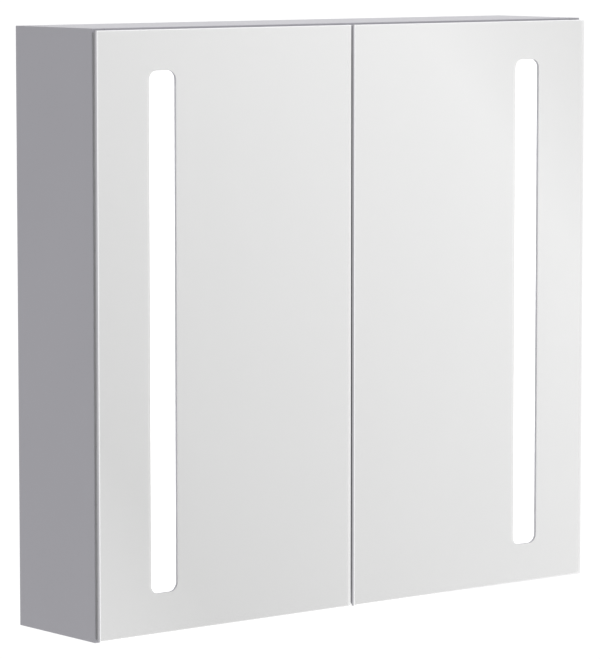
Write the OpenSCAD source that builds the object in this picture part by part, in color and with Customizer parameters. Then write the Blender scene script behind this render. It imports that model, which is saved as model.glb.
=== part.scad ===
// Wall-hung mirror cabinet with two overlay mirror doors, each with an upright light window.
//
// X runs to the right, Y into the wall and Z up. The parts are drawn with the cabinet's underside
// at Z = 0 and the wall plane at Y = 0, and placed() then lowers them, so that the origin is the
// middle of the wall rail's two screw slots, on the wall plane. Left-hand parts are drawn, and the
// right-hand ones mirror them.

/* [Body] */
// Width of the cabinet body
cab_w = 650; // [520:1:800]
// Height of the cabinet body
cab_h = 608; // [480:1:760]
// Depth of the body, from the wall to its front edges
cab_d = 130; // [106:1:180]
// Thickness of the side, top and bottom panels
panel_t = 15; // [12.5:0.5:18]
// Thickness of the back panel
back_t = 5; // [4:0.5:6]
// Free depth behind the back panel, which takes the wall rail
rail_space = 12; // [10:0.5:16]
// Rounding of the side panels' upright edges
edge_r = 1; // [0.5:0.1:1.5]

/* [Doors] */
// Thickness of the front mirror, with its silvering
mirror_t = 4; // [3:0.1:6]
// Thickness of the mirror on the inside of a door
inner_mirror_t = 3; // [2:0.1:3.4]
// Bevel round the front of a door's mirror
mirror_bevel = 0.8; // [0.3:0.1:1.5]
// Gap between the two doors
centre_gap = 4; // [2:0.5:6]
// How far a door stays short of the body, at its top and at its bottom
door_drop = 2; // [1:0.5:4]
// Width of a light window
window_w = 33; // [20:1:38]
// From a door's hinge edge to its light window
window_side = 65; // [55:1:80]
// From the body's top and bottom to the light windows' ends
window_end = 43; // [35:1:80]
// Corner radius of a light window
window_r = 9; // [3:0.5:10]

/* [Hinges] */
// Diameter of the continuous hinge's knuckles
knuckle_d = 3.9; // [3.6:0.1:5]
// Diameter of the hinge pin
pin_d = 2.3; // [1.9:0.1:2.4]
// Thickness of the hinge leaves
leaf_t = 0.9; // [0.7:0.05:1.2]
// From the hinge line to a leaf's far edge
leaf_w = 13; // [11:0.5:13.5]
// Length of one knuckle, before it is rounded to fit the hinge
knuckle_l = 20; // [15:1:40]

/* [Lights] */
// Width of a light housing
light_w = 44; // [40:1:48]
// Depth of a light housing
light_d = 20; // [16:1:26]
// Distance between two lights on the board
led_pitch = 25; // [15:1:40]

/* [Shelves] */
// Thickness of the glass shelves
shelf_t = 5; // [4:0.5:8]
// Number of glass shelves
shelf_count = 2; // [2:1:4]

/* [Wall fixing] */
// Distance between the wall rail's two screw slots
screw_spacing = 450; // [350:1:460]
// Width of a screw slot
slot_w = 6.5; // [5:0.5:8]
// End-to-end length of a screw slot
slot_l = 16; // [12:1:24]
// Bore of the grommet that the supply cable comes in through
cable_bore_d = 10; // [7:0.5:11]

/* [Hidden] */
$fn = 48;

// Colours of the finishes
body_grey = [0.62, 0.62, 0.65];
glass_tint = [0.80, 0.88, 0.86, 0.5];
silver = [0.82, 0.83, 0.86];
opal = [0.98, 0.98, 0.97];
steel = [0.66, 0.67, 0.69];
aluminium = [0.75, 0.76, 0.78];
dark_plastic = [0.12, 0.12, 0.13];
white_plastic = [0.92, 0.92, 0.90];

// Clearances
fit_c = 0.2;        // round a piece that is pushed or slid into another
screw_c = 0.05;     // round a screw, bolt or stud in its hole, on the radius
pin_c = 0.05;       // round a hinge pin, on the radius
swing_c = 0.3;      // between a moving part and a fixed one
over = 1;           // how far a cutting shape runs past the piece that it cuts
end_c = 0.5;        // past the tip of a screw or bolt in its hole

// Body
half_w = cab_w / 2;
inner_x = half_w - panel_t;          // inner face of a side panel
top_z = cab_h - panel_t;             // underside of the top panel
back_rear_y = -rail_space;
back_front_y = back_rear_y - back_t;
front_y = -cab_d;                    // front edges of the body
light_inset = 2;                     // from them to the light housings
groove_d = 6;                        // depth of the groove that holds the back panel
grip_w = 160;                        // finger grip cut in the bottom panel's front edge
grip_d = 18;
grip_r = 8;

// Doors
gap = knuckle_d + 2 * swing_c;       // between the body's front edges and the front mirrors
mirror_rear_y = front_y - gap;
mirror_front_y = mirror_rear_y - mirror_t;
silvering_t = 0.2;
inner_mirror_inset = 1.5;            // from the front mirror's free edges
inner_rear_y = mirror_rear_y + inner_mirror_t;
free_x = centre_gap / 2;             // free edge of a door
door_z0 = door_drop;
door_z1 = cab_h - door_drop;
window_x = half_w - window_side - window_w / 2;
window_z = cab_h / 2;
window_h = cab_h - 2 * window_end;
insert_t = 0.8;                      // opal sheet behind a window, stuck on the inner mirror
insert_lap = 4;                      // how far that sheet reaches past its window

// Hinges
axis_inset = 1.25;                   // from the side panel's outer face to the hinge line
axis_x = half_w - axis_inset;
axis_y = front_y - gap / 2;
leaf_start = knuckle_d / 2 + 0.45;   // leaves stay clear of the other leaf's knuckles
leaf_end_c = 0.3;                    // gap between two knuckles
hinge_bottom = 4;                    // above the body's underside, and as far below its top
hinge_h = cab_h - 2 * hinge_bottom;
knuckle_n = 2 * floor(hinge_h / knuckle_l / 2) + 1;
knuckle_pitch = hinge_h / knuckle_n;
hinge_screw_d = 3;
hinge_screw_head_d = 5.4;
hinge_screw_head_h = 1.2;
hinge_screw_l = 14;
hinge_screw_n = 8;
hinge_recess_l = 2.8;                // crossed recess in a hinge screw's head
hinge_recess_w = 0.6;
hinge_recess_d = 0.6;
hinge_screw_x = axis_x - (leaf_start + leaf_w) / 2;

// Service space at the top of the cabinet, behind its cover
service_h = 50;
service_z = top_z - service_h;
cover_t = 1.2;
cover_depth = 58;
cover_front_y = back_front_y - cover_depth;
cover_flange = 14;
cover_screw_inset = 5;               // from the flange's rear edge
cover_hole_c = 1;                    // round an adjusting screw's head
cover_screw_xs = [for (k = [-1, 0, 1]) k * (inner_x - 60)];

// Interior mirror
interior_mirror_t = 3;
interior_mirror_y = back_front_y - interior_mirror_t;

// Wall rail and hangers
rail_t = 2;
rail_step = 4;                       // how far the rail's lip stands off its base
rail_below = 14;
rail_end_c = 5;                      // from the rail's ends to the side panels
rail_base_h = 10;
lip_h = 16;
hook_z = top_z - 20;
rail_z = hook_z - rail_base_h - lip_h;
hanger_w = 18;
hanger_depth = 38;
hanger_h = 44;
hanger_wall = 2;
hanger_top_c = 2;
hook_w = 12;
hook_t = 2.4;
hook_tip_c = 0.8;                    // between the hook's tip and the wall
hook_drop = 10;                      // how far the hook's tip reaches down behind the rail's lip
hook_reach = 30;                     // from the back panel's front face into the hanger
boss_d = 6;                          // block at the hook's front end
boss_h = 26;
boss_rise = 6;
adjuster_d = 5;
adjuster_head_d = 8;
adjuster_head_h = 3;
adjuster_slot_l = 5;
adjuster_slot_w = 1;
adjuster_slot_d = 1.5;
adjuster_drop = 14;                  // from the depth adjuster down to the height adjuster
hanger_x = inner_x - hanger_w / 2;
hanger_front_y = back_front_y - hanger_depth;
hanger_top_z = top_z - hanger_top_c;
hook_slot_c = 4;                     // room round the hook in the back panel, for adjusting
hanger_screw_yzs = [                 // through the hanger's side into the side panel
    [back_front_y - 10, hanger_top_z - hanger_h + 8],
    [back_front_y - 15, hanger_top_z - 7],
];

// Screws with a pan head
screw_d = 3.5;
screw_l = 9;
screw_head_d = 7;
screw_head_h = 2.2;
screw_recess_l = screw_head_d * 0.6;
screw_recess_w = 0.8;
screw_recess_d = 1;

// Cam fittings between the panels
cam_d = 15;
cam_setback = 34;                    // from the side panel's inner face to a cam's middle
cam_h = panel_t - 3;
cam_slot_l = 8;                      // crossed slot in a cam's face
cam_slot_w = 1.2;
cam_slot_d = 1.5;
cam_bolt_d = 7;
cam_bolt_grip = panel_t - 5;         // how deep a bolt sits in the side panel
cam_ys = [-30, front_y + 30];

// Shelves
shelf_front_y = front_y + light_inset + light_d + 3;
shelf_back_y = interior_mirror_y - 1.5;
shelf_side_c = 1;
shelf_r = 3;
shelf_zs = [for (k = [1 : shelf_count]) panel_t + (service_z - panel_t) * k / (shelf_count + 1)];
stud_d = 5;
stud_in = 8;
stud_end_c = 1;                      // past a stud's tip in its hole
support_w = 9;
support_h = 6.5;
support_inset = 14;                  // from a shelf's front and back edges
support_ys = [shelf_front_y + support_inset, shelf_back_y - support_inset];
hole_pitch = 32;
hole_reach = 2;                      // holes above and below each shelf's place

// Lights
light_y = front_y + light_inset;     // front of a light housing
light_wall = 1.5;
light_z0 = panel_t + fit_c;
light_z1 = top_z - fit_c;
ledge = 1.2;                         // ribs that the diffuser rests on
diffuser_t = 2;
cap_h = 8;
cap_screw_sink = 1;                  // how far a screw's head is sunk in an end cap
board_w = 12;
board_t = 1.2;
board_end_c = 10;
board_z0 = light_z0 + cap_h + board_end_c;
board_z1 = light_z1 - cap_h - board_end_c;
board_y = light_y + light_d - light_wall;
chip_w = 3.5;
chip_h = 2.8;
chip_t = 0.9;
chip_margin = 15;                    // bare ends of a board
chip_n = floor((board_z1 - board_z0 - 2 * chip_margin) / led_pitch) + 1;
chip_z0 = (board_z0 + board_z1 - (chip_n - 1) * led_pitch) / 2;

// Driver and terminals
driver_w = 160;
driver_y0 = cover_front_y + cover_t + cover_flange + 1;
driver_d = 34;
driver_h = 22;
driver_ear = 12;
driver_ear_w = 14;
ear_t = 2;
terminal_w = 40;
terminal_x = 150;
terminal_d = 20;
terminal_h = 18;
terminal_pitch = 11;
terminal_hole_d = 5;
terminal_hole_depth = 4;
terminal_z = service_z + 4;
grommet_x = 150;
grommet_flange_d = 18;
grommet_seat_d = 14;
grommet_flange_t = 1.5;
grommet_z = hook_z + grommet_flange_d / 2 - 1;

// Leads
lead_d = 3;
lead_hole_d = 6;
lead_bend = 6;
lead_sides = 8;
mains_lead_off = 13;                 // from the back panel's front face
light_lead_y = back_front_y - 26;
light_lead_z = top_z - 13;
lead_in_y = board_y - board_t - lead_d / 2 - 0.1;
sensor_lead_y = light_lead_y - 7;
sensor_lead_z = light_lead_z - 6;
sensor_lead_x = window_x + 14;

// Sensor under the cabinet
sensor_d = 16;
sensor_flange_d = 20;
sensor_flange_t = 1.5;
sensor_lens_d = 8;
sensor_lens_t = 2;
sensor_lens_inset = 0.3;
sensor_nut_d = 22;
sensor_nut_t = 3;
sensor_top = panel_t + 8;
sensor_x = (inner_x + window_x + light_w / 2) / 2;
sensor_y = (cam_ys[0] + cam_ys[1]) / 2;
sensor_lead_low_z = sensor_top + 10;

// Catch at the top, and the doors' small fittings
catch_w = 52;
catch_d = 18;
catch_h = 16;
catch_y = front_y + 0.2;
magnet_w = 16;
magnet_h = 10;
magnet_d = 6;
magnet_x = 14;
catch_recess_w = 18;                 // recess behind, for the catch's screws
catch_recess_d = 10;
catch_web_t = 3;
catch_screw_x = 4;
strike_t = 0.9;
strike_inset = 1;                    // from a magnet's sides
bumper_d = 8;
bumper_t = gap - inner_mirror_t - swing_c;
bumper_x = grip_w / 2 + 12;          // lands on the panels' front edges, beside the finger grip

// ---- Helpers ----

// Lowers a part, so that the origin is at the wall rail's screw slots
module placed() {
    translate([0, 0, -rail_z]) children();
}

// The right-hand part that mirrors a left-hand one
module other_hand() {
    mirror([1, 0, 0]) children();
}

// Both hands of a part that is drawn at positive X
module both_hands() {
    children();
    mirror([1, 0, 0]) children();
}

// A box between two corners
module slab(low, high) {
    translate(low) cube(high - low);
}

// Rods along X, Y and Z, each from its low end
module rod_x(at, length, d) {
    translate(at) rotate([0, 90, 0]) cylinder(h = length, d = d);
}

module rod_y(at, length, d) {
    translate(at) rotate([-90, 0, 0]) cylinder(h = length, d = d);
}

module rod_z(at, length, d) {
    translate(at) cylinder(h = length, d = d);
}

// A centred rectangle with round corners
module round_rect(w, h, r) {
    square([w, h - 2 * r], center = true);
    square([w - 2 * r, h], center = true);
    for (sx = [-1, 1], sy = [-1, 1])
        translate([sx * (w / 2 - r), sy * (h / 2 - r)]) circle(r);
}

// Stands an XZ outline up, between two depths
module upright(y0, y1) {
    translate([0, y1, 0]) rotate([90, 0, 0]) linear_extrude(y1 - y0) children();
}

// Runs a YZ outline along X
module along_x(x0, x1) {
    translate([x0, 0, 0]) rotate([90, 0, 90]) linear_extrude(x1 - x0) children();
}

// A screw that points up from the underside of its head at Z = 0, with a crossed recess
module pan_screw(length = screw_l) {
    difference() {
        union() {
            cylinder(h = length, d = screw_d);
            translate([0, 0, -screw_head_h]) cylinder(h = screw_head_h, d = screw_head_d);
        }
        for (a = [0, 90])
            rotate([0, 0, a]) translate([0, 0, -screw_head_h])
                cube([screw_recess_l, screw_recess_w, 2 * screw_recess_d], center = true);
    }
}

// The hole for a screw's shank, with room past its tip
module screw_hole(length = screw_l) {
    translate([0, 0, -over]) cylinder(h = length + over + end_c, d = screw_d + 2 * screw_c);
}

// A unit vector, and the points of a route with each corner rounded by an arc
function unit(v) = v / norm(v);
function corner_arc(a, b, c, r, steps = 5) =
    let (u = unit(a - b), w = unit(c - b), start = b + u * r, centre = b + (u + w) * r)
    [for (k = [0 : steps]) centre - w * r * cos(90 * k / steps) - u * r * sin(90 * k / steps)];
function rounded_route(points, r) = [
    points[0],
    for (k = [1 : len(points) - 2])
        each corner_arc(points[k - 1], points[k], points[k + 1], r),
    points[len(points) - 1],
];

// A lead: a tube of lead_sides flat sides along a route whose corners are square turns
module lead(points) {
    route = rounded_route(points, lead_bend);
    last = len(route) - 1;
    tangents = [for (k = [0 : last]) unit(route[min(k + 1, last)] - route[max(k - 1, 0)])];
    start = abs(tangents[0].z) < 0.5 ? [0, 0, 1] : [1, 0, 0];
    normals = [
        for (k = 0, n = start; k <= last;
             k = k + 1, n = k > last ? n : unit(n - (n * tangents[k]) * tangents[k])) n
    ];
    rings = [
        for (k = [0 : last], s = [0 : lead_sides - 1])
            let (side = cross(tangents[k], normals[k]), a = 360 * s / lead_sides)
            route[k] + lead_d / 2 * (normals[k] * cos(a) + side * sin(a))
    ];
    faces = concat(
        [[for (s = [0 : lead_sides - 1]) lead_sides - 1 - s]],
        [for (k = [0 : last - 1], s = [0 : lead_sides - 1])
            let (t = (s + 1) % lead_sides, low = k * lead_sides, high = low + lead_sides)
            [low + s, low + t, high + t, high + s]],
        [[for (s = [0 : lead_sides - 1]) last * lead_sides + s]]
    );
    mirrored = [for (f = faces) [for (k = [len(f) - 1 : -1 : 0]) f[k]]];
    polyhedron(rings, mirrored);
}

// ---- Body panels ----

module back_groove() {
    slab([-inner_x - groove_d, back_front_y - fit_c / 2, panel_t - groove_d],
         [inner_x + groove_d, back_rear_y + fit_c / 2, top_z + groove_d]);
}

// Where the cam fittings are, as children drawn for the right-hand end of the top panel
module at_cams() {
    for (y = cam_ys) both_hands() {
        translate([inner_x, y, 0]) children();
        translate([inner_x, y, cab_h]) mirror([0, 0, 1]) children();
    }
}

module cam_cuts() {
    at_cams() {
        rod_z([-cam_setback, 0, panel_t - cam_h], cam_h + over, cam_d);
        rod_x([-cam_setback, 0, panel_t / 2], cam_setback + cam_bolt_grip + end_c,
              cam_bolt_d + 2 * screw_c);
    }
}

module shelf_holes() {
    for (z = shelf_zs, y = support_ys, k = [-hole_reach : hole_reach])
        rod_x([-inner_x - stud_in - stud_end_c, y, z - support_h / 2 + k * hole_pitch],
              stud_in + stud_end_c + over, stud_d + 2 * screw_c);
}

module hinge_screw(grow = 0) {
    rod_y([0, 0, 0], hinge_screw_l + 2 * grow, hinge_screw_d + 2 * grow);
    rotate([-90, 0, 0])
        cylinder(h = hinge_screw_head_h, d1 = hinge_screw_head_d + 2 * grow,
                 d2 = hinge_screw_d + 2 * grow);
}

module at_hinge_screws() {
    for (k = [0 : hinge_screw_n - 1])
        translate([-hinge_screw_x, front_y - leaf_t,
                   hinge_bottom + hinge_h * (k + 0.5) / hinge_screw_n])
            children();
}

module at_hanger_screws() {
    for (at = hanger_screw_yzs)
        translate([-inner_x + hanger_wall, at[0], at[1]]) rotate([0, -90, 0]) children();
}

module side_panel() {
    color(body_grey) difference() {
        translate([-half_w + panel_t / 2, front_y / 2, 0])
            linear_extrude(cab_h) round_rect(panel_t, cab_d, edge_r);
        back_groove();
        cam_cuts();
        shelf_holes();
        at_hinge_screws() hinge_screw(screw_c);
        at_hanger_screws() screw_hole();
    }
}

module top_panel() {
    color(body_grey) difference() {
        slab([-inner_x, front_y, top_z], [inner_x, 0, cab_h]);
        back_groove();
        cam_cuts();
        at_cover_screws() screw_hole();
        at_driver_screws() screw_hole();
        at_catch_screws() screw_hole();
        at_light_cap_screws() screw_hole();
    }
}

module bottom_panel() {
    color(body_grey) difference() {
        slab([-inner_x, front_y, 0], [inner_x, 0, panel_t]);
        back_groove();
        cam_cuts();
        translate([0, front_y, -over])
            linear_extrude(panel_t + 2 * over) round_rect(grip_w, 2 * grip_d, grip_r);
        rod_z([sensor_x, sensor_y, -over], panel_t + 2 * over, sensor_d + 2 * fit_c);
        rod_z([sensor_x, sensor_y, -over], sensor_flange_t + over, sensor_flange_d + 2 * fit_c);
        at_light_cap_screws() screw_hole();
    }
}

module hook_slot() {
    slab([-hanger_x - hook_w / 2 - hook_slot_c / 2, back_front_y - over, hook_z - hook_slot_c],
         [-hanger_x + hook_w / 2 + hook_slot_c / 2, back_rear_y + over,
          hook_z + hook_t + hook_slot_c]);
}

module back_panel() {
    tongue = groove_d - fit_c;
    color(body_grey) difference() {
        slab([-inner_x - tongue, back_front_y, panel_t - tongue],
             [inner_x + tongue, back_rear_y, top_z + tongue]);
        both_hands() hook_slot();
        rod_y([grommet_x, back_front_y - over, grommet_z], back_t + 2 * over, grommet_seat_d);
    }
}

module interior_mirror() {
    color(silver)
        slab([-inner_x + shelf_side_c, interior_mirror_y, panel_t + shelf_side_c],
             [inner_x - shelf_side_c, back_front_y, service_z - shelf_side_c]);
}

module cam_locks() {
    color(steel) at_cams() difference() {
        rod_z([-cam_setback, 0, panel_t - cam_h + fit_c], cam_h - fit_c, cam_d - 2 * fit_c);
        rod_x([-cam_setback, 0, panel_t / 2], cam_d, cam_bolt_d + 2 * screw_c);
        for (turn = [0, 90])
            translate([-cam_setback, 0, panel_t]) rotate([0, 0, turn])
                cube([cam_slot_l, cam_slot_w, 2 * cam_slot_d], center = true);
    }
}

module cam_bolts() {
    color(steel) at_cams()
        rod_x([-cam_setback + end_c, 0, panel_t / 2], cam_setback - end_c + cam_bolt_grip, cam_bolt_d);
}

// ---- Shelves ----

module shelf(z) {
    color(glass_tint) translate([0, (shelf_front_y + shelf_back_y) / 2, z])
        linear_extrude(shelf_t)
            round_rect(2 * (inner_x - shelf_side_c), shelf_back_y - shelf_front_y, shelf_r);
}

module shelf_supports() {
    color(steel) for (z = shelf_zs, y = support_ys) both_hands() {
        rod_x([inner_x - over, y, z - support_h / 2], stud_in + over, stud_d);
        slab([inner_x - support_w, y - support_w / 2, z - support_h],
             [inner_x, y + support_w / 2, z]);
    }
}

// ---- Wall rail and hangers ----

module screw_slot() {
    half_run = (slot_l - slot_w) / 2;
    for (s = [-1, 1]) rod_y([s * half_run, -rail_t - over, 0], rail_t + 2 * over, slot_w);
    slab([-half_run, -rail_t - over, -slot_w / 2], [half_run, over, slot_w / 2]);
}

module wall_rail() {
    lip_y = -rail_t - rail_step;
    color(steel) difference() {
        along_x(-inner_x + rail_end_c, inner_x - rail_end_c) {
            translate([-rail_t, rail_z - rail_below]) square([rail_t, rail_below + rail_base_h]);
            translate([lip_y, rail_z + rail_base_h - rail_t]) square([-lip_y, rail_t]);
            translate([lip_y, rail_z + rail_base_h - rail_t]) square([rail_t, lip_h + rail_t]);
        }
        for (s = [-1, 1]) translate([s * screw_spacing / 2, 0, rail_z]) screw_slot();
    }
}

module at_adjusters() {
    for (drop = [0, adjuster_drop])
        translate([-hanger_x, hanger_front_y, hook_z + hook_t / 2 - drop]) children();
}

module hanger_body() {
    color(white_plastic) difference() {
        slab([-inner_x, hanger_front_y, hanger_top_z - hanger_h],
             [-inner_x + hanger_w, back_front_y, hanger_top_z]);
        slab([-inner_x + hanger_wall, hanger_front_y + hanger_wall,
              hanger_top_z - hanger_h + hanger_wall],
             [-inner_x + hanger_w - hanger_wall, back_front_y + over, hanger_top_z - hanger_wall]);
        at_adjusters() rod_y([0, -over, 0], hanger_wall + 2 * over, adjuster_d + 2 * screw_c);
        at_hanger_screws() screw_hole();
    }
}

module hanger_hook() {
    hook_front_y = back_front_y - hook_reach;
    tip_front_y = -hook_tip_c - hook_t;
    boss_top_z = hook_z + hook_t / 2 + boss_rise;
    color(steel) difference() {
        union() {
            slab([-hanger_x - hook_w / 2, hook_front_y, hook_z],
                 [-hanger_x + hook_w / 2, -hook_tip_c, hook_z + hook_t]);
            slab([-hanger_x - hook_w / 2, tip_front_y, hook_z - hook_drop],
                 [-hanger_x + hook_w / 2, -hook_tip_c, hook_z + hook_t]);
            slab([-hanger_x - hook_w / 2, hook_front_y, boss_top_z - boss_h],
                 [-hanger_x + hook_w / 2, hook_front_y + boss_d, boss_top_z]);
        }
        at_adjusters()
            rod_y([0, -over, 0], hanger_depth - hook_reach + boss_d + 2 * over,
                  adjuster_d + 2 * screw_c);
    }
}

module hanger_adjusting_screws() {
    color(steel) both_hands() other_hand() at_adjusters() difference() {
        union() {
            rod_y([0, 0, 0], hanger_depth - hook_reach + boss_d, adjuster_d);
            rod_y([0, -adjuster_head_h, 0], adjuster_head_h, adjuster_head_d);
        }
        for (turn = [0, 90])
            rotate([0, turn, 0]) translate([0, -adjuster_head_h, 0])
                cube([adjuster_slot_l, 2 * adjuster_slot_d, adjuster_slot_w], center = true);
    }
}

// ---- Service space ----

module at_cover_screws() {
    for (x = cover_screw_xs)
        translate([x, cover_front_y + cover_t + cover_flange - cover_screw_inset, top_z - cover_t])
            children();
}

module service_cover() {
    color(body_grey) difference() {
        along_x(-inner_x + fit_c, inner_x - fit_c) {
            translate([cover_front_y, service_z]) square([cover_t, service_h]);
            translate([cover_front_y, service_z])
                square([interior_mirror_y - fit_c - cover_front_y, cover_t]);
            translate([cover_front_y, top_z - cover_t]) square([cover_t + cover_flange, cover_t]);
        }
        both_hands() other_hand() at_adjusters()
            rod_y([0, -cover_depth + hanger_depth - over, 0], cover_t + 2 * over,
                  adjuster_head_d + 2 * cover_hole_c);
        for (s = [-1, 1])
            rod_y([s * window_x, cover_front_y - over, light_lead_z], cover_t + 2 * over, lead_hole_d);
        rod_y([sensor_lead_x, cover_front_y - over, sensor_lead_z], cover_t + 2 * over, lead_hole_d);
        at_cover_screws() screw_hole();
    }
}

module at_driver_screws() {
    for (s = [-1, 1])
        translate([s * (driver_w + driver_ear) / 2, driver_y0 + driver_d / 2, top_z - ear_t])
            children();
}

module led_driver() {
    color(white_plastic) difference() {
        union() {
            slab([-driver_w / 2, driver_y0, top_z - driver_h],
                 [driver_w / 2, driver_y0 + driver_d, top_z]);
            slab([-driver_w / 2 - driver_ear, driver_y0 + (driver_d - driver_ear_w) / 2, top_z - ear_t],
                 [driver_w / 2 + driver_ear, driver_y0 + (driver_d + driver_ear_w) / 2, top_z]);
        }
        at_driver_screws() screw_hole();
    }
}

module terminal_block() {
    color(white_plastic) difference() {
        slab([terminal_x - terminal_w / 2, back_front_y - terminal_d, terminal_z],
             [terminal_x + terminal_w / 2, back_front_y, terminal_z + terminal_h]);
        for (k = [-1, 0, 1])
            rod_y([terminal_x + k * terminal_pitch, back_front_y - terminal_d - over,
                   terminal_z + terminal_h / 2], terminal_hole_depth + over, terminal_hole_d);
    }
}

module cable_grommet() {
    color(dark_plastic) difference() {
        union() {
            rod_y([grommet_x, back_front_y - grommet_flange_t, grommet_z], grommet_flange_t,
                  grommet_flange_d);
            rod_y([grommet_x, back_front_y, grommet_z], back_t, grommet_seat_d);
            rod_y([grommet_x, back_rear_y, grommet_z], grommet_flange_t, grommet_flange_d);
        }
        rod_y([grommet_x, back_front_y - grommet_flange_t - over, grommet_z],
              back_t + 2 * (grommet_flange_t + over), cable_bore_d);
    }
}

module mains_link_lead() {
    y = back_front_y - mains_lead_off;
    low_z = terminal_z + terminal_h / 2;
    high_z = top_z - driver_h + 2 * lead_d;
    driver_end = driver_w / 2;
    terminal_end = terminal_x - terminal_w / 2;
    turn_x = terminal_end - 2 * lead_bend - lead_d;
    color(dark_plastic)
        lead([[terminal_end, y, low_z], [turn_x, y, low_z], [turn_x, y, high_z],
              [driver_end, y, high_z]]);
}

module light_lead() {
    color(dark_plastic)
        lead([[driver_w / 2, light_lead_y, light_lead_z], [window_x, light_lead_y, light_lead_z],
              [window_x, lead_in_y, light_lead_z],
              [window_x, lead_in_y, board_z1 - lead_bend]]);
}

module sensor_lead() {
    color(dark_plastic)
        lead([[sensor_x, sensor_y, sensor_top],
              [sensor_x, sensor_y, sensor_lead_low_z],
              [sensor_lead_x, sensor_y, sensor_lead_low_z],
              [sensor_lead_x, lead_in_y, sensor_lead_low_z],
              [sensor_lead_x, lead_in_y, sensor_lead_z],
              [sensor_lead_x, sensor_lead_y, sensor_lead_z],
              [driver_w / 2, sensor_lead_y, sensor_lead_z]]);
}

// ---- Lights ----

module light_outline() {
    inside = light_w - 2 * light_wall;
    difference() {
        translate([-light_w / 2, 0]) square([light_w, light_d]);
        translate([-inside / 2, -over]) square([inside, light_d - light_wall + over]);
    }
    for (s = [-1, 1])
        translate([s * (inside - ledge) / 2, diffuser_t + fit_c + ledge / 2])
            square([ledge, ledge], center = true);
}

module light_housing() {
    color(aluminium) difference() {
        translate([window_x, light_y, light_z0]) linear_extrude(light_z1 - light_z0) light_outline();
        for (at = [[window_x, light_lead_z], [sensor_lead_x, sensor_lead_z],
                   [sensor_lead_x, sensor_lead_low_z]])
            rod_y([at[0], board_y - over, at[1]], light_wall + 2 * over, lead_hole_d);
    }
}

module led_board() {
    color(white_plastic)
        slab([window_x - board_w / 2, board_y - board_t, board_z0],
             [window_x + board_w / 2, board_y, board_z1]);
}

module led_chips() {
    color(opal) both_hands() for (k = [0 : chip_n - 1])
        translate([window_x, board_y - board_t - chip_t / 2, chip_z0 + k * led_pitch])
            cube([chip_w, chip_t, chip_h], center = true);
}

module diffuser() {
    half = light_w / 2 - light_wall - fit_c;
    color(opal)
        slab([window_x - half, light_y, light_z0 + cap_h + fit_c],
             [window_x + half, light_y + diffuser_t, light_z1 - cap_h - fit_c]);
}

module at_light_cap_screws() {
    sink = screw_head_h + cap_screw_sink;
    both_hands() {
        translate([window_x, light_y + light_d / 2, light_z1 - cap_h + sink]) children();
        translate([window_x, light_y + light_d / 2, light_z0 + cap_h - sink])
            mirror([0, 0, 1]) children();
    }
}

module light_end_caps() {
    half = light_w / 2 - light_wall - fit_c;
    lip = diffuser_t + 2 * fit_c + ledge;
    sink = screw_head_h + cap_screw_sink + over;
    color(white_plastic) difference() {
        both_hands() for (z = [light_z0, light_z1 - cap_h]) {
            slab([window_x - half + ledge, light_y, z],
                 [window_x + half - ledge, board_y - fit_c, z + cap_h]);
            slab([window_x - half, light_y + lip + fit_c, z],
                 [window_x + half, board_y - fit_c, z + cap_h]);
        }
        at_light_cap_screws() {
            screw_hole();
            translate([0, 0, -sink]) cylinder(h = sink, d = screw_head_d + 1);
        }
    }
}

// ---- Sensor ----

module sensor_housing() {
    color(dark_plastic) difference() {
        union() {
            rod_z([sensor_x, sensor_y, 0], sensor_flange_t, sensor_flange_d);
            rod_z([sensor_x, sensor_y, sensor_flange_t], sensor_top - sensor_flange_t, sensor_d);
        }
        rod_z([sensor_x, sensor_y, -over], sensor_lens_t + over, sensor_lens_d);
    }
}

module sensor_lens() {
    color([0.35, 0.05, 0.08])
        rod_z([sensor_x, sensor_y, sensor_lens_inset], sensor_lens_t - sensor_lens_inset,
              sensor_lens_d - fit_c);
}

module sensor_nut() {
    color(dark_plastic) difference() {
        translate([sensor_x, sensor_y, panel_t])
            cylinder(h = sensor_nut_t, d = sensor_nut_d, $fn = 6);
        rod_z([sensor_x, sensor_y, panel_t - over], sensor_nut_t + 2 * over, sensor_d + fit_c);
    }
}

// ---- Hinges ----

// A leaf with its knuckles, drawn for the leaf that lies on the side panel's front edge.
// The hinge line is X = 0, Y = 0, and first says which knuckles are its own.
module hinge_leaf(first) {
    difference() {
        union() {
            slab([leaf_start, gap / 2 - leaf_t, 0], [leaf_w, gap / 2, hinge_h]);
            for (k = [first : 2 : knuckle_n - 1]) {
                z0 = k * knuckle_pitch + leaf_end_c / 2;
                z1 = (k + 1) * knuckle_pitch - leaf_end_c / 2;
                rod_z([0, 0, z0], z1 - z0, knuckle_d);
                slab([0, gap / 2 - leaf_t, z0], [leaf_start + over, gap / 2, z1]);
            }
        }
        rod_z([0, 0, -over], hinge_h + 2 * over, pin_d + 2 * pin_c);
    }
}

module hinge_body_leaf() {
    color(steel) difference() {
        translate([-axis_x, axis_y, hinge_bottom]) hinge_leaf(0);
        at_hinge_screws() hinge_screw(screw_c);
    }
}

module hinge_door_leaf() {
    color(steel) translate([-axis_x, axis_y, hinge_bottom]) mirror([0, 1, 0]) hinge_leaf(1);
}

module hinge_pin() {
    color(steel) rod_z([-axis_x, axis_y, hinge_bottom], hinge_h, pin_d);
}

module hinge_screws() {
    color(steel) both_hands() other_hand() at_hinge_screws() difference() {
        hinge_screw();
        for (turn = [0, 90])
            rotate([0, turn, 0])
                cube([hinge_recess_l, 2 * hinge_recess_d, hinge_recess_w], center = true);
    }
}

// ---- Catch ----

module at_catch_screws() {
    for (s = [-1, 1])
        translate([s * catch_screw_x, catch_y + catch_d - catch_recess_d / 2, top_z - catch_web_t])
            children();
}

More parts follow.
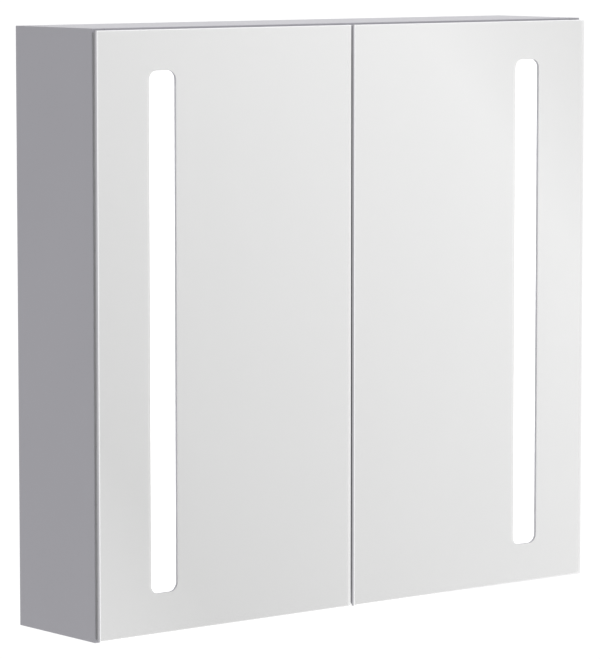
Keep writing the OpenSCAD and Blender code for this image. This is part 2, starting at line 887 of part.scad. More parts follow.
module door_catch() {
    color(white_plastic) difference() {
        slab([-catch_w / 2, catch_y, top_z - catch_h], [catch_w / 2, catch_y + catch_d, top_z]);
        slab([-catch_recess_w / 2, catch_y + catch_d - catch_recess_d, top_z - catch_h - over],
             [catch_recess_w / 2, catch_y + catch_d + over, top_z - catch_web_t]);
        for (s = [-1, 1])
            slab([s * magnet_x - magnet_w / 2 - fit_c, catch_y - over,
                  top_z - catch_h / 2 - magnet_h / 2 - fit_c],
                 [s * magnet_x + magnet_w / 2 + fit_c, catch_y + magnet_d,
                  top_z - catch_h / 2 + magnet_h / 2 + fit_c]);
        at_catch_screws() screw_hole();
    }
}

module catch_magnets() {
    color(dark_plastic) for (s = [-1, 1])
        slab([s * magnet_x - magnet_w / 2, catch_y, top_z - catch_h / 2 - magnet_h / 2],
             [s * magnet_x + magnet_w / 2, catch_y + magnet_d, top_z - catch_h / 2 + magnet_h / 2]);
}

// The like screws of the hangers, the service cover, the driver, the light end caps and the catch
module pan_head_screws() {
    color(steel) {
        both_hands() other_hand() at_hanger_screws() pan_screw();
        at_cover_screws() pan_screw();
        at_driver_screws() pan_screw();
        at_light_cap_screws() pan_screw();
        at_catch_screws() pan_screw();
    }
}

// ---- Doors ----

module window_outline(grow = 0) {
    translate([-window_x, window_z])
        round_rect(window_w + 2 * grow, window_h + 2 * grow, window_r + grow);
}

// Section of a door's glass between two edges, with both front corners bevelled
function glass_section(low, high) =
    let (rear = mirror_rear_y - silvering_t, front = mirror_front_y, bevel = mirror_bevel)
    [[low, rear], [high, rear], [high, front + bevel], [high - bevel, front],
     [low + bevel, front], [low, front + bevel]];

module door_glass() {
    color(glass_tint) intersection() {
        translate([0, 0, door_z0])
            linear_extrude(door_z1 - door_z0) polygon(glass_section(-half_w, -free_x));
        along_x(-half_w, -free_x)
            polygon([for (p = glass_section(door_z0, door_z1)) [p.y, p.x]]);
    }
}

module silvering() {
    color(silver) difference() {
        slab([-half_w, mirror_rear_y - silvering_t, door_z0], [-free_x, mirror_rear_y, door_z1]);
        upright(mirror_rear_y - silvering_t - over, mirror_rear_y + over) window_outline();
    }
}

module inner_mirror() {
    color(silver) difference() {
        slab([-axis_x + leaf_w + 1, mirror_rear_y, door_z0 + inner_mirror_inset],
             [-free_x - inner_mirror_inset, inner_rear_y,
              door_z1 - inner_mirror_inset]);
        upright(mirror_rear_y - over, inner_rear_y + over) window_outline();
    }
}

module window_insert() {
    color(opal) upright(inner_rear_y, inner_rear_y + insert_t) window_outline(insert_lap);
}

module strike_plate() {
    color(steel)
        slab([-magnet_x - magnet_w / 2 + strike_inset, inner_rear_y,
              top_z - catch_h / 2 - magnet_h / 2],
             [-magnet_x + magnet_w / 2 - strike_inset, inner_rear_y + strike_t,
              top_z - catch_h / 2 + magnet_h / 2]);
}

module door_bumpers() {
    color(white_plastic) for (z = [panel_t / 2, cab_h - panel_t / 2])
        rod_y([-bumper_x, inner_rear_y, z], bumper_t, bumper_d);
}

// ---- Nodes ----

placed() side_panel();  // left_side_panel
placed() other_hand() side_panel();  // right_side_panel
placed() top_panel();
placed() bottom_panel();
placed() back_panel();
placed() interior_mirror();
placed() cam_locks();
placed() cam_bolts();
placed() shelf(shelf_zs[shelf_count - 1]);  // upper_shelf
placed() for (k = [0 : shelf_count - 2]) shelf(shelf_zs[k]);  // lower_shelf
placed() shelf_supports();
placed() wall_rail();
placed() hanger_body();  // left_hanger_body
placed() other_hand() hanger_body();  // right_hanger_body
placed() hanger_hook();  // left_hanger_hook
placed() other_hand() hanger_hook();  // right_hanger_hook
placed() hanger_adjusting_screws();
placed() service_cover();
placed() led_driver();
placed() terminal_block();
placed() cable_grommet();
placed() mains_link_lead();
placed() other_hand() light_lead();  // left_light_lead
placed() light_lead();  // right_light_lead
placed() sensor_lead();
placed() other_hand() light_housing();  // left_light_housing
placed() light_housing();  // right_light_housing
placed() other_hand() led_board();  // left_led_board
placed() led_board();  // right_led_board
placed() led_chips();
placed() other_hand() diffuser();  // left_diffuser
placed() diffuser();  // right_diffuser
placed() light_end_caps();
placed() sensor_housing();
placed() sensor_lens();
placed() sensor_nut();
placed() hinge_body_leaf();  // left_hinge_body_leaf
placed() other_hand() hinge_body_leaf();  // right_hinge_body_leaf
placed() hinge_pin();  // left_hinge_pin
placed() other_hand() hinge_pin();  // right_hinge_pin
placed() hinge_screws();
placed() door_catch();
placed() catch_magnets();
placed() pan_head_screws();
placed() door_glass();  // left_door_glass
placed() silvering();  // left_silvering
placed() inner_mirror();  // left_inner_mirror
placed() window_insert();  // left_window_insert
placed() hinge_door_leaf();  // left_hinge_door_leaf
placed() strike_plate();  // left_strike_plate
placed() door_bumpers();  // left_door_bumpers
placed() other_hand() door_glass();  // right_door_glass
placed() other_hand() silvering();  // right_silvering
placed() other_hand() inner_mirror();  // right_inner_mirror
placed() other_hand() window_insert();  // right_window_insert
placed() other_hand() hinge_door_leaf();  // right_hinge_door_leaf
placed() other_hand() strike_plate();  // right_strike_plate
placed() other_hand() door_bumpers();  // right_door_bumpers
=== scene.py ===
"""Looks of a wall-hung cabinet with two overlay mirror doors and upright light windows.

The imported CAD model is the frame: its nodes keep their shapes and places, and get finishes and
softened edges here. Small shaped pieces, such as the silvering, the door bumpers, the grommet
and the sensor's lens, are surfaces worked out here, and each stands for its CAD node.
Lengths are in metres. X runs to the right, Y into the wall and Z up.
"""

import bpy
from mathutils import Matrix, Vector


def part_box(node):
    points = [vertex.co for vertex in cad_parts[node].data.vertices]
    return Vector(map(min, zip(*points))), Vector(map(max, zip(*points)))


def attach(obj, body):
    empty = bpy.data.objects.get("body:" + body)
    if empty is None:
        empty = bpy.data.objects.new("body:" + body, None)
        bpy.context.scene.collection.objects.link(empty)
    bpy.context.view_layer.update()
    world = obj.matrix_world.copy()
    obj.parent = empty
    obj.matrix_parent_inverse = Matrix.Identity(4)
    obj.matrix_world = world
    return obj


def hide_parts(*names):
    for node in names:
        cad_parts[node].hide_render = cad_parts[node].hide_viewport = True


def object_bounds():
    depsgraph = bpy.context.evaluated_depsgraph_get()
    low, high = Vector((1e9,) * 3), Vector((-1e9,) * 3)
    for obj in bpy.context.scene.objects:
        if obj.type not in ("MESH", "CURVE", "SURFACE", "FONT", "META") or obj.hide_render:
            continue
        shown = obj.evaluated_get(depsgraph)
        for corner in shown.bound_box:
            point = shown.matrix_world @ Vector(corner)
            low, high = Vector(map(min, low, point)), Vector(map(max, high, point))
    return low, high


bl_info = {
    "name": "Mirror Cabinet",
    "version": (1, 0, 0),
    "blender": (4, 5, 0),
    "location": "View3D > Sidebar > Mirror Cabinet",
    "description": "Finishes, small shaped pieces and a studio for a two-door mirror cabinet",
    "category": "Object",
}

import functools
import math

import bmesh
import bpy
import numpy as np
from bpy.props import FloatProperty, FloatVectorProperty, PointerProperty
from mathutils import Vector

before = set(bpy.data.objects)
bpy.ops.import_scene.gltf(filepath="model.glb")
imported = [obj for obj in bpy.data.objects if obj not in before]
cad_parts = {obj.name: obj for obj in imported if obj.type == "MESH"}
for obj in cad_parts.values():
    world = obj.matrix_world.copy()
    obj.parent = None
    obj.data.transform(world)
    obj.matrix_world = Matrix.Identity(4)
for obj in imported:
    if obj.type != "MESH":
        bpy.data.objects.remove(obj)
CAD_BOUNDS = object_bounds()
MM = 0.001
SIDES = ("left", "right")
LAMP_PITCH = 25 * MM                # from one light-emitting diode to the next


# ---- Settings ----

class CabinetFinishes(bpy.types.PropertyGroup):
    """Colours of the cabinet's finishes, and how soft its edges are."""

    lacquer: FloatVectorProperty(
        name="Body lacquer", description="Colour of the lacquered panels",
        default=(0.600, 0.592, 0.640), subtype="COLOR", min=0.0, max=1.0)
    silver: FloatVectorProperty(
        name="Silvering", description="Colour of the mirrors' silver layer",
        default=(0.955, 0.948, 0.948), subtype="COLOR", min=0.0, max=1.0)
    glass: FloatVectorProperty(
        name="Glass", description="Tint of the clear glass",
        default=(0.985, 0.989, 0.988), subtype="COLOR", min=0.0, max=1.0)
    ground_edge: FloatVectorProperty(
        name="Ground glass edge", description="Colour of a mirror's ground edge",
        default=(0.36, 0.355, 0.385), subtype="COLOR", min=0.0, max=1.0)
    # The painted glow on the front glass's edges
    painted_edge_glow: FloatProperty(
        name="Painted edge glow", description="How brightly the window light shows at the glass's edges",
        default=0.85, min=0.0, max=5.0)
    glow: FloatVectorProperty(
        name="Window light", description="Colour of the lit opal sheets",
        default=(1.0, 0.998, 0.995), subtype="COLOR", min=0.0, max=1.0)
    glow_strength: FloatProperty(
        name="Window light strength", description="How brightly the opal sheets are lit",
        default=1.25, min=0.0, max=10.0)
    panel_rounding: FloatProperty(
        name="Panel edge rounding", description="Width of the softened edge on a panel",
        default=0.6 * MM, min=0.0, max=2.0 * MM, subtype="DISTANCE", unit="LENGTH")
    metal_rounding: FloatProperty(
        name="Metal edge rounding", description="Width of the softened edge on sheet metal",
        default=0.18 * MM, min=0.0, max=0.4 * MM, subtype="DISTANCE", unit="LENGTH")


class CabinetStudio(bpy.types.PropertyGroup):
    """Where the camera stands, and how the studio is lit."""

    azimuth: FloatProperty(
        name="Azimuth", description="Camera's turn round the cabinet, from straight in front",
        default=math.radians(-39.08), subtype="ANGLE", unit="ROTATION")
    elevation: FloatProperty(
        name="Elevation", description="Camera's angle above the level",
        default=math.radians(6.05), subtype="ANGLE", unit="ROTATION")
    distance: FloatProperty(
        name="Distance", description="From the camera to the point that it looks at",
        default=4.072, min=0.5, subtype="DISTANCE", unit="LENGTH")
    lens: FloatProperty(
        name="Lens", description="Focal length of the camera in millimetres",
        default=212.4, min=10.0, max=500.0)
    aim: FloatVectorProperty(
        name="Aim", description="Point that the camera looks at, from the cabinet's middle",
        default=(-0.0098, 0.0056, -0.0176), subtype="TRANSLATION", unit="LENGTH")
    floor_drop: FloatProperty(
        name="Floor drop", description="From the cabinet's underside down to the floor",
        default=3.2, min=0.0, subtype="DISTANCE", unit="LENGTH")
    floor_radius: FloatProperty(
        name="Floor radius", description="Radius of the pale floor",
        default=3.0, min=0.5, subtype="DISTANCE", unit="LENGTH")


# ---- Shader expressions ----

class Wire:
    """A shader socket that takes part in arithmetic: each operation adds one Math node."""

    def __init__(self, nodes, socket):
        self.nodes = nodes
        self.socket = socket

    def _math(self, operation, *others):
        return self.nodes.add("ShaderNodeMath", {"operation": operation}, [self, *others])

    def __add__(self, other):
        return self._math("ADD", other)

    def __mul__(self, other):
        return self._math("MULTIPLY", other)

    def __abs__(self):
        return self._math("ABSOLUTE")

    def __gt__(self, other):
        return self._math("GREATER_THAN", other)

    def __lt__(self, other):
        return self._math("LESS_THAN", other)

    def above(self, other):
        """The larger of this and another value."""
        return self._math("MAXIMUM", other)

    __radd__ = __add__
    __rmul__ = __mul__


class Nodes:
    """Adds nodes to one shader tree."""

    def __init__(self, tree):
        self.tree = tree
        tree.nodes.clear()

    def add(self, kind, settings=None, inputs=(), output=0):
        """One node: its type, then its settings, then the values or links of its sockets."""
        return Wire(self, self._node(kind, settings, inputs).outputs[output])

    def _node(self, kind, settings, inputs):
        node = self.tree.nodes.new(kind)
        for name, value in (settings or {}).items():
            if name == "stops":
                self._set_stops(node.color_ramp, value)
            else:
                setattr(node, name, value)
        pairs = inputs.items() if isinstance(inputs, dict) else enumerate(inputs)
        for name, value in pairs:
            if isinstance(value, Wire):
                self.tree.links.new(value.socket, node.inputs[name])
            else:
                node.inputs[name].default_value = value
        return node

    @staticmethod
    def _set_stops(ramp, stops):
        """Sets a ramp's stops, each a place and a grey level or a colour."""
        while len(ramp.elements) < len(stops):
            ramp.elements.new(0.5)
        for element, (place, level) in zip(ramp.elements, stops):
            element.position = place
            element.color = (level,) * 3 + (1,) if isinstance(level, float) else (*level, 1)

    def point(self, stretch=(1, 1, 1)):
        """A point on the piece, in its own metres, with each axis scaled."""
        where = self.add("ShaderNodeTexCoord", output="Object")
        return self.add("ShaderNodeMapping", inputs={"Vector": where, "Scale": stretch})

    def facing(self, axis):
        """How far the surface faces along an axis of the piece, from -1 to 1."""
        normal = self.add("ShaderNodeTexCoord", output="Normal")
        return self.add("ShaderNodeSeparateXYZ", inputs=[normal], output="XYZ".index(axis))

    def noise(self, grain, detail, stretch=(1, 1, 1), roughness=0.5):
        """Noise from 0 to 1 whose features are about one grain across, in metres."""
        return self.add("ShaderNodeTexNoise", inputs={
            "Vector": self.point(stretch), "Scale": 1 / grain, "Detail": detail,
            "Roughness": roughness})

    def cells(self, grain):
        """Distance from the middle of the nearest of many cells, each one grain across."""
        return self.add("ShaderNodeTexVoronoi", inputs={"Vector": self.point(), "Scale": 1 / grain})

    def ramp(self, value, stops):
        """Turns a value from 0 to 1 into the grey levels or colours of its stops."""
        return self.add("ShaderNodeValToRGB", {"stops": stops}, [value])

    def blend(self, factor, first, second):
        """Mixes two colours."""
        return self.add("ShaderNodeMix", {"data_type": "RGBA"}, {0: factor, 6: first, 7: second}, 2)

    def bump(self, height, depth):
        """A normal from a height that runs from 0 to 1, for a relief of that depth in metres."""
        return self.add("ShaderNodeBump", inputs={"Height": height, "Distance": depth})

    def principled(self, **sockets):
        """A Principled shader; each socket is named with underscores for its spaces."""
        named = {name.replace("_", " "): value for name, value in sockets.items()}
        return self.add("ShaderNodeBsdfPrincipled", inputs=named)

    def output(self, shader, kind="ShaderNodeOutputMaterial"):
        """Sends a shader to the tree's output."""
        self._node(kind, None, {"Surface": shader})


def rgba(colour):
    """A colour with full opacity."""
    return (*colour, 1.0)


def shade(colour, factor):
    """A colour made darker or lighter."""
    return tuple(min(1.0, part * factor) for part in colour[:3]) + (1.0,)


# ---- Finishes ----

def finish(build):
    """Makes a finish once, under its function's name, and hands the same one out after that."""
    @functools.wraps(build)
    def get(*values):
        material = bpy.data.materials.get(build.__name__)
        if material is None:
            material = bpy.data.materials.new(build.__name__)
            material.use_nodes = True
            nodes = Nodes(material.node_tree)
            nodes.output(build(nodes, *values))
        return material
    return get


def silver_face(n, colour):
    """Silver behind glass, with a breath of haze."""
    haze = n.noise(0.11, 4, roughness=0.6)
    return n.principled(
        Base_Color=n.blend(haze, shade(colour, 0.985), rgba(colour)),
        Metallic=1.0, Roughness=0.004 + haze * 0.012)


def moulding(n, dark, light, rough):
    """Moulded plastic with a spark-eroded texture and faint flow marks."""
    texture = n.noise(0.0006, 3, roughness=0.6)
    flow = n.noise(0.03, 2, stretch=(1, 1, 0.3))
    return n.principled(
        Base_Color=n.blend(texture * 0.5 + flow * 0.5, dark, light),
        Roughness=rough + texture * 0.14, Normal=n.bump(texture, 0.03 * MM))


@finish
def satin_lacquer(n, colour):
    """Sprayed lacquer: a faint orange peel, slow drifts of tone and a few fine specks."""
    drift = n.noise(0.16, 2)
    specks = n.noise(0.0011, 3, roughness=0.7)
    tone = drift * 0.7 + specks * 0.3
    peel = n.noise(0.0022, 1) * 0.7 + n.noise(0.0007, 1) * 0.3
    return n.principled(
        Base_Color=n.blend(tone, shade(colour, 0.965), shade(colour, 1.035)),
        Roughness=0.36 + drift * 0.08 + specks * 0.05,
        Normal=n.bump(peel, 0.035 * MM),
        Coat_Weight=0.08, Coat_Roughness=0.25)


@finish
def mirror_silver(n, colour, edge):
    """Silver on its broad faces, and ground glass on its cut edges."""
    broad = abs(n.facing("Y")) > 0.9
    grinding = n.noise(0.0006, 2, stretch=(1, 1, 0.15))
    ground = n.principled(
        Base_Color=n.blend(grinding, shade(edge, 0.94), shade(edge, 1.08)),
        Roughness=0.5 + grinding * 0.2, Normal=n.bump(grinding, 0.02 * MM))
    return n.add("ShaderNodeMixShader", inputs=[broad, ground, silver_face(n, colour)])


@finish
def silver_layer(n, colour):
    """A mirror's silver layer: silver towards the glass, grey backing paint behind and round it."""
    towards_glass = n.facing("Y") < -0.9
    coat = n.noise(0.002, 3)
    paint = n.principled(
        Base_Color=n.blend(coat, (0.15, 0.155, 0.165, 1), (0.19, 0.195, 0.205, 1)),
        Roughness=0.5 + coat * 0.2, Normal=n.bump(coat, 0.02 * MM))
    return n.add("ShaderNodeMixShader", inputs=[towards_glass, paint, silver_face(n, colour)])


@finish
def front_glass(n, tint, edge, painted_edge_glow):
    """Clear float glass with finely ground edges and a bright polished bevel round its front.

    An edge that is seen through the glass carries a painted glow, which stands for window light run
    along inside the glass, and the ground face outside carries a fainter painted glow.
    """
    painted_glow_share = 0.40                     # share of the painted edge glow that the ground face carries
    squareness = abs(n.facing("Y"))
    wipe = n.noise(0.05, 3, stretch=(1, 1, 0.35))
    grinding = n.noise(0.0005, 2, stretch=(0.2, 1, 0.2))
    clear = n.principled(
        Base_Color=n.blend(wipe, shade(tint, 0.995), rgba(tint)),
        Roughness=wipe * 0.004, Transmission_Weight=1.0, IOR=1.5)
    # The ground face: dark, with a painted glow
    ground = n.principled(
        Base_Color=n.blend(grinding, shade(edge, 0.40), shade(edge, 0.46)),
        Roughness=0.4 + grinding * 0.2, Normal=n.bump(grinding, 0.015 * MM),
        Emission_Color=(0.97, 0.96, 1.0, 1), Emission_Strength=painted_glow_share * painted_edge_glow)
    bevel = n.principled(
        Base_Color=n.blend(grinding, (0.93, 0.93, 0.94, 1), (0.99, 0.99, 1.0, 1)),
        Metallic=0.85, Roughness=0.10 + grinding * 0.06)
    # Painted highlight: an edge seen through the glass glows white
    painted_edge_highlight = n.principled(
        Base_Color=(0.1, 0.1, 0.1, 1),
        Emission_Color=n.blend(grinding, (0.97, 0.97, 0.97, 1), (1, 1, 1, 1)),
        Emission_Strength=painted_edge_glow)
    outside = n.add("ShaderNodeMixShader", inputs=[squareness > 0.4, ground, bevel])
    inside = n.add("ShaderNodeNewGeometry", output="Backfacing")
    edges = n.add("ShaderNodeMixShader", inputs=[inside, outside, painted_edge_highlight])
    return n.add("ShaderNodeMixShader", inputs=[squareness > 0.9, edges, clear])


@finish
def shelf_glass(n, tint):
    """Clear float glass whose polished edges gather its green."""
    flat = abs(n.facing("Z")) > 0.9
    wipe = n.noise(0.04, 3)
    return n.principled(
        Base_Color=n.blend(flat, (0.50, 0.80, 0.70, 1), rgba(tint)),
        Roughness=0.002 + wipe * 0.006, Transmission_Weight=1.0, IOR=1.5)


@finish
def lit_opal(n, colour, strength):
    """Opal sheet lit from behind, its glow drifting a touch from place to place, and full of fine
    pigment.
    """
    pigment = n.noise(0.0009, 3)
    cloud = n.noise(0.09, 1)
    level = cloud * 0.6 + pigment * 0.4
    glow = n.blend(level, shade(colour, 0.985), rgba(colour))
    return n.principled(
        Base_Color=n.blend(pigment, (0.90, 0.90, 0.89, 1), (0.94, 0.94, 0.93, 1)),
        Roughness=0.32 + pigment * 0.1, Emission_Color=glow, Emission_Strength=strength,
        Normal=n.bump(pigment, 0.01 * MM))


@finish
def satin_steel(n):
    """Satin stainless steel, brushed along its length."""
    brush = n.noise(0.0005, 3, stretch=(1, 1, 0.02))
    wear = n.noise(0.012, 3)
    return n.principled(
        Base_Color=n.blend(brush, (0.42, 0.42, 0.435, 1), (0.54, 0.54, 0.555, 1)),
        Metallic=1.0, Roughness=0.30 + brush * 0.12 + wear * 0.08,
        Normal=n.bump(brush, 0.012 * MM))


@finish
def zinc_plate(n):
    """Bright zinc plating: small spangles with a cool and a faintly yellow passivation."""
    spangle = n.cells(0.004)
    film = n.noise(0.02, 4, roughness=0.65)
    bath = n.blend(film, (0.60, 0.62, 0.66, 1), (0.70, 0.69, 0.62, 1))
    return n.principled(
        Base_Color=n.blend(spangle * 0.35, bath, (0.78, 0.79, 0.80, 1)),
        Metallic=1.0, Roughness=0.26 + film * 0.16,
        Normal=n.bump(film * 0.6 + spangle * 0.4, 0.02 * MM))


@finish
def anodised_aluminium(n):
    """Satin anodised extrusion with faint die lines along its length."""
    lines = n.noise(0.0009, 2, stretch=(1, 1, 0.004))
    bloom = n.noise(0.05, 3)
    return n.principled(
        Base_Color=n.blend(lines * 0.6 + bloom * 0.4, (0.62, 0.63, 0.65, 1), (0.74, 0.75, 0.77, 1)),
        Metallic=0.95, Roughness=0.33 + lines * 0.1,
        Normal=n.bump(lines, 0.015 * MM))


@finish
def powder_coat(n, colour):
    """Powder coat with its fine leathery grain."""
    grain = n.noise(0.0009, 2)
    drift = n.noise(0.09, 2)
    return n.principled(
        Base_Color=n.blend(drift * 0.5 + grain * 0.5, shade(colour, 0.93), shade(colour, 1.05)),
        Roughness=0.46 + grain * 0.12, Normal=n.bump(grain, 0.06 * MM))


@finish
def white_moulding(n):
    """White moulded plastic."""
    return moulding(n, (0.74, 0.74, 0.72, 1), (0.84, 0.84, 0.82, 1), 0.36)


@finish
def black_moulding(n):
    """Black moulded plastic."""
    return moulding(n, (0.012, 0.012, 0.013, 1), (0.028, 0.028, 0.03, 1), 0.34)


@finish
def black_rubber(n):
    """Moulded rubber with a dusty bloom."""
    bloom = n.noise(0.006, 4)
    pores = n.noise(0.0004, 2)
    return n.principled(
        Base_Color=n.blend(bloom, (0.014, 0.014, 0.014, 1), (0.035, 0.034, 0.033, 1)),
        Roughness=0.58 + bloom * 0.2, Normal=n.bump(pores, 0.02 * MM))


@finish
def lead_sleeve(n):
    """Soft extruded cable sleeve, faintly streaked along its run."""
    streaks = n.noise(0.0008, 2, stretch=(0.1, 1, 0.1))
    return n.principled(
        Base_Color=n.blend(streaks, (0.020, 0.020, 0.022, 1), (0.042, 0.042, 0.045, 1)),
        Roughness=0.42 + streaks * 0.12, Normal=n.bump(streaks, 0.02 * MM))


@finish
def circuit_board(n, pitch):
    """White solder mask with a copper pad beside every lamp."""
    place = n.point()
    z = n.add("ShaderNodeSeparateXYZ", inputs=[place], output=2)
    along = n.add("ShaderNodeMath", {"operation": "PINGPONG"}, [z, pitch / 2])
    pad = along < pitch * 0.09
    mask = n.noise(0.0008, 2)
    return n.principled(
        Base_Color=n.blend(
            pad, n.blend(mask, (0.82, 0.83, 0.82, 1), (0.90, 0.91, 0.90, 1)), (0.78, 0.62, 0.36, 1)),
        Metallic=pad * 0.8, Roughness=0.34 + mask * 0.1, Normal=n.bump(pad, 0.03 * MM))


@finish
def lit_diode(n, colour):
    """Phosphor of a lit diode."""
    phosphor = n.noise(0.0004, 2)
    return n.principled(
        Base_Color=n.blend(phosphor, (0.95, 0.80, 0.35, 1), (0.98, 0.88, 0.50, 1)),
        Roughness=0.3 + phosphor * 0.1, Emission_Color=rgba(colour), Emission_Strength=4.0)


@finish
def sensor_window(n):
    """Deep red window that lets infrared through."""
    depth = n.noise(0.003, 2)
    return n.principled(
        Base_Color=n.blend(depth, (0.05, 0.004, 0.006, 1), (0.10, 0.008, 0.012, 1)),
        Roughness=0.05 + depth * 0.03, Coat_Weight=0.6, Coat_Roughness=0.03)


@finish
def sintered_magnet(n):
    """Black sintered magnet with a fine broken grain."""
    grain = n.noise(0.0007, 4, roughness=0.7)
    return n.principled(
        Base_Color=n.blend(grain, (0.02, 0.02, 0.02, 1), (0.07, 0.068, 0.066, 1)),
        Roughness=0.45 + grain * 0.2, Metallic=0.3, Normal=n.bump(grain, 0.03 * MM))


@finish
def clear_bumper(n):
    """Soft clear plastic, milky with use."""
    milk = n.noise(0.002, 3)
    return n.principled(
        Base_Color=n.blend(milk, (0.80, 0.82, 0.82, 1), (0.90, 0.91, 0.91, 1)),
        Roughness=0.14 + milk * 0.12, Transmission_Weight=0.55, IOR=1.45)


# ---- Working on CAD nodes ----

def dress(names, material, rounding=0.0):
    """Gives CAD nodes a finish, and softens their sharp edges by the rounding."""
    for name in names:
        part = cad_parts[name]
        part.data.materials.clear()
        part.data.materials.append(material)
        if rounding:
            soften(part, rounding)


def join_triangles(part):
    """Joins a node's loose triangles, and shades them smoothly."""
    part.data.polygons.foreach_set("use_smooth", np.ones(len(part.data.polygons), bool))
    part.modifiers.new("Join", "WELD").merge_threshold = 0.001 * MM


def soften(part, width):
    """Rounds a part's sharp edges, and keeps its broad faces flat and whole."""
    join_triangles(part)
    planar = part.modifiers.new("Plain faces", "DECIMATE")
    planar.decimate_type = "DISSOLVE"
    planar.angle_limit = math.radians(0.5)
    bevel = part.modifiers.new("Soft edges", "BEVEL")
    bevel.width = width
    bevel.segments = 2
    bevel.limit_method = "ANGLE"
    bevel.angle_limit = math.radians(40)
    bevel.use_clamp_overlap = False
    part.modifiers.new("Shading", "WEIGHTED_NORMAL")


def smooth_leads(names, material):
    """Gives the flat-sided leads a finish, and rounds them."""
    dress(names, material)
    for name in names:
        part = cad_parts[name]
        join_triangles(part)
        rounder = part.modifiers.new("Round", "SUBSURF")
        rounder.levels = rounder.render_levels = 1


# ---- Surfaces ----

def grid_piece(name, points, material, closed=(True, True), smooth=True):
    """A mesh on a grid of points, of shape rows, columns, 3.

    Neighbouring points are joined by quads, and a direction that is closed joins its last line
    of points to its first. Points in one place, as at a pole, become one point.
    """
    rows, columns = points.shape[:2]
    index = np.arange(rows * columns).reshape(rows, columns)
    if closed[0]:
        index = np.vstack([index, index[:1]])
    if closed[1]:
        index = np.hstack([index, index[:, :1]])
    quads = np.stack([index[:-1, :-1], index[1:, :-1], index[1:, 1:], index[:-1, 1:]], -1)
    mesh = bpy.data.meshes.new(name)
    mesh.from_pydata(points.reshape(-1, 3), [], quads.reshape(-1, 4))
    work = bmesh.new()
    work.from_mesh(mesh)
    bmesh.ops.remove_doubles(work, verts=work.verts, dist=0.0005 * MM)
    bmesh.ops.recalc_face_normals(work, faces=work.faces)
    work.to_mesh(mesh)
    work.free()
    mesh.polygons.foreach_set("use_smooth", np.full(len(mesh.polygons), smooth))
    mesh.materials.append(material)
    piece = bpy.data.objects.new(name, mesh)
    bpy.context.scene.collection.objects.link(piece)
    return piece


def round_rectangle(middle, width, height, radius, steps=10):
    """Points round a rectangle with round corners: a quarter circle about each corner's centre."""
    quarter = np.linspace(0, np.pi / 2, steps)
    turns = (quarter + np.arange(4)[:, None] * np.pi / 2).ravel()
    right = np.sign(np.cos(np.arange(4) * np.pi / 2 + np.pi / 4)).repeat(steps)
    up = np.sign(np.sin(np.arange(4) * np.pi / 2 + np.pi / 4)).repeat(steps)
    x = middle[0] + right * (width / 2 - radius) + radius * np.cos(turns)
    z = middle[1] + up * (height / 2 - radius) + radius * np.sin(turns)
    return np.stack([x, z], -1)


def box_outline(low, high, radius, inset=0.0):
    """The XZ outline of a box, drawn in by the inset, with round corners."""
    middle = ((low.x + high.x) / 2, (low.z + high.z) / 2)
    width = high.x - low.x - 2 * inset
    height = high.z - low.z - 2 * inset
    return round_rectangle(middle, width, height, radius)


def plate_rings(outlines, depths):
    """Rings of X, Y, Z points: each XZ outline is set at its own depth along Y."""
    rings = [np.insert(outline, 1, depth, axis=1) for outline, depth in zip(outlines, depths)]
    return np.array(rings)


def turned(middle, axis, radii, heights, steps=48):
    """A surface of revolution: each radius is carried round the axis at its own height."""
    turn = np.linspace(0, 2 * np.pi, steps, endpoint=False)
    across = np.stack([np.cos(turn), np.sin(turn)])
    radii, heights = np.asarray(radii)[:, None], np.asarray(heights)[:, None]
    points = np.empty((len(radii), steps, 3))
    others = [k for k in range(3) if k != axis]
    points[..., others[0]] = radii * across[0]
    points[..., others[1]] = radii * across[1]
    points[..., axis] = heights
    return points + np.asarray(middle)


def fillet(centre, radius, start, end, steps=6):
    """Radii and heights along an arc, for a turned profile; the angles are in degrees."""
    angle = np.radians(np.linspace(start, end, steps))
    return centre[0] + radius * np.cos(angle), centre[1] + radius * np.sin(angle)


def joined_profile(*parts):
    """Joins stretches of a profile, each a pair of radii and heights."""
    radii = np.concatenate([np.atleast_1d(part[0]) for part in parts])
    heights = np.concatenate([np.atleast_1d(part[1]) for part in parts])
    return radii, heights


def stands_for(piece, node, body):
    """Lets a piece take the place of a CAD node: hides the node and puts the piece on that node's body.
    """
    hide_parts(node)
    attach(piece, body)


# ---- Shaped pieces ----

def make_silvering(side, finishes):
    """The silver layer behind a door's glass, with its window left clear.

    A ring is carried from the window's outline out to the door's outline on the front face, over
    the edge, back in on the rear face and over the window's edge, so that the layer is closed.
    """
    low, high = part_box(side + "_silvering")
    opal_low, opal_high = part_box(side + "_window_insert")
    window_lap = 4.0 * MM           # how far the opal sheet reaches past the window
    window_corner = 9.0 * MM
    door_corner = 0.05 * MM
    air = 0.04 * MM                 # keeps the silver off the glass
    window = box_outline(opal_low, opal_high, window_corner, window_lap)
    door = box_outline(low, high, door_corner)
    front, rear = low.y + air, high.y
    rings = plate_rings([window, door, door, window], [front, front, rear, rear])
    piece = grid_piece(side + "_silver_layer", rings, silver_layer(finishes.silver), smooth=False)
    stands_for(piece, side + "_silvering", side + "_door")


def make_bumpers(side):
    """The two soft bumpers on a door's back: low domes, each on a straight-sided foot.

    The profile runs from the middle of the foot out to its edge, up its side, and over the dome
    by a quarter of a flattened circle.
    """
    low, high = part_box(side + "_door_bumpers")
    radius = (high.x - low.x) / 2
    thick = high.y - low.y
    foot = thick * 0.3
    dome = np.linspace(0, np.pi / 2, 14)
    radii, heights = joined_profile(
        (0.0, 0.0), (radius, 0.0), (radius, foot),
        (radius * np.cos(dome), foot + (thick - foot) * np.sin(dome)))
    middles = [(low.x + radius, low.y, z) for z in (low.z + radius, high.z - radius)]
    for place, middle in zip(("lower", "upper"), middles):
        points = turned(middle, 1, radii, heights)
        piece = grid_piece(f"{side}_{place}_bumper", points, clear_bumper(), closed=(False, True))
        stands_for(piece, side + "_door_bumpers", side + "_door")


